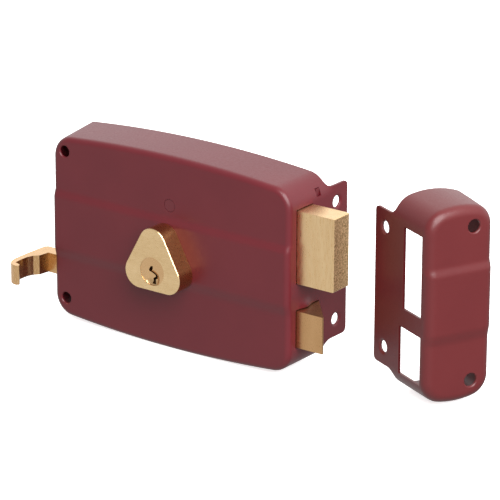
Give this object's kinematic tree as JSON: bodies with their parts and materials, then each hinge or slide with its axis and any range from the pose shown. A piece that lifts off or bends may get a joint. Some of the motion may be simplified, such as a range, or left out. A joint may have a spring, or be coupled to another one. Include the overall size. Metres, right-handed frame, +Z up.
{
  "type": "rim lock",
  "caption": "Surface-mounted rim lock with key-driven deadbolt, sprung latch with finger pull, inner cylinder and separate keeper.",
  "frame": {"origin": "centre of the outer cylinder's hole, on the face that bears on the door", "axes": "+X is the direction in which both bolts are thrown, +Y points from the room into the door, +Z is up"},
  "size_m": [0.2469, 0.0668, 0.0973],
  "materials": {
    "burgundy_paint": "satin paint over pressed steel",
    "cast_brass": "sawn and tumbled, fine grain",
    "drawn_brass": "drawn, satin",
    "zinc_steel": "zinc plated",
    "spring_steel": "bright drawn wire",
    "die_cast_zinc": "as cast"
  },
  "bodies": {
    "case": {"case": "burgundy_paint", "back_plate": "zinc_steel", "cover_screws": "zinc_steel", "spacer_pillars": "zinc_steel", "forend_plate": "zinc_steel", "guide_block": "die_cast_zinc", "guide_stud": "zinc_steel", "friction_spring": "spring_steel", "rod_bracket": "zinc_steel", "lever_pivot": "zinc_steel", "cylinder_body": "cast_brass", "cylinder_screws": "zinc_steel", "driver_pins": "drawn_brass", "pin_springs": "spring_steel", "chamber_caps": "drawn_brass"},
    "deadbolt": {"deadbolt_head": "cast_brass", "deadbolt_tail": "zinc_steel", "deadbolt_rivets": "zinc_steel"},
    "latch": {"latch_head": "cast_brass", "latch_rod": "zinc_steel", "rod_clip": "spring_steel", "latch_spring": "spring_steel"},
    "finger_pull": {"pull_handle": "drawn_brass", "pull_strap": "zinc_steel", "pull_rivets": "zinc_steel", "drive_pin": "zinc_steel"},
    "plug": {"cylinder_plug": "drawn_brass", "key_pins": "drawn_brass", "drive_cam": "die_cast_zinc", "cam_screws": "zinc_steel"},
    "latch_lever": {"latch_lever": "zinc_steel"},
    "keeper": {"keeper": "burgundy_paint"}
  },
  "joints": [
    {"name": "deadbolt_slide", "type": "slide", "parent": "case", "child": "deadbolt", "axis": [1, 0, 0], "range_m": [-0.021, 0]},
    {"name": "plug_turn", "type": "hinge", "parent": "case", "child": "plug", "pos_m": [0, -0.0415, 0], "axis": [0, -1, 0], "range_deg": [0, 360]},
    {"name": "latch_slide", "type": "slide", "parent": "case", "child": "latch", "axis": [1, 0, 0], "range_m": [-0.0145, 0], "stiffness_N_per_m": 250, "springref_m": 0.02, "deforming": ["latch_spring"]},
    {"name": "pull_slide", "type": "slide", "parent": "case", "child": "finger_pull", "axis": [1, 0, 0], "range_m": [-0.0145, 0]},
    {"name": "lever_turn", "type": "hinge", "parent": "case", "child": "latch_lever", "pos_m": [-0.012, -0.0168, -0.0325], "axis": [0, -1, 0], "range_deg": [0, 53.3]},
    {"name": "keeper_swing", "type": "hinge", "parent": "case", "child": "keeper", "pos_m": [0.11729, 0.00967, 0.007], "axis": [0, 0, 1], "range_deg": [-65.25, 0]}
  ],
  "couplings": [
    {"joint": "plug_turn", "follows": "deadbolt_slide", "rad_per_m": -299.19},
    {"joint": "pull_slide", "follows": "latch_slide", "ratio": 1},
    {"joint": "lever_turn", "follows": "latch_slide", "rad_per_m": -64.142}
  ]
}
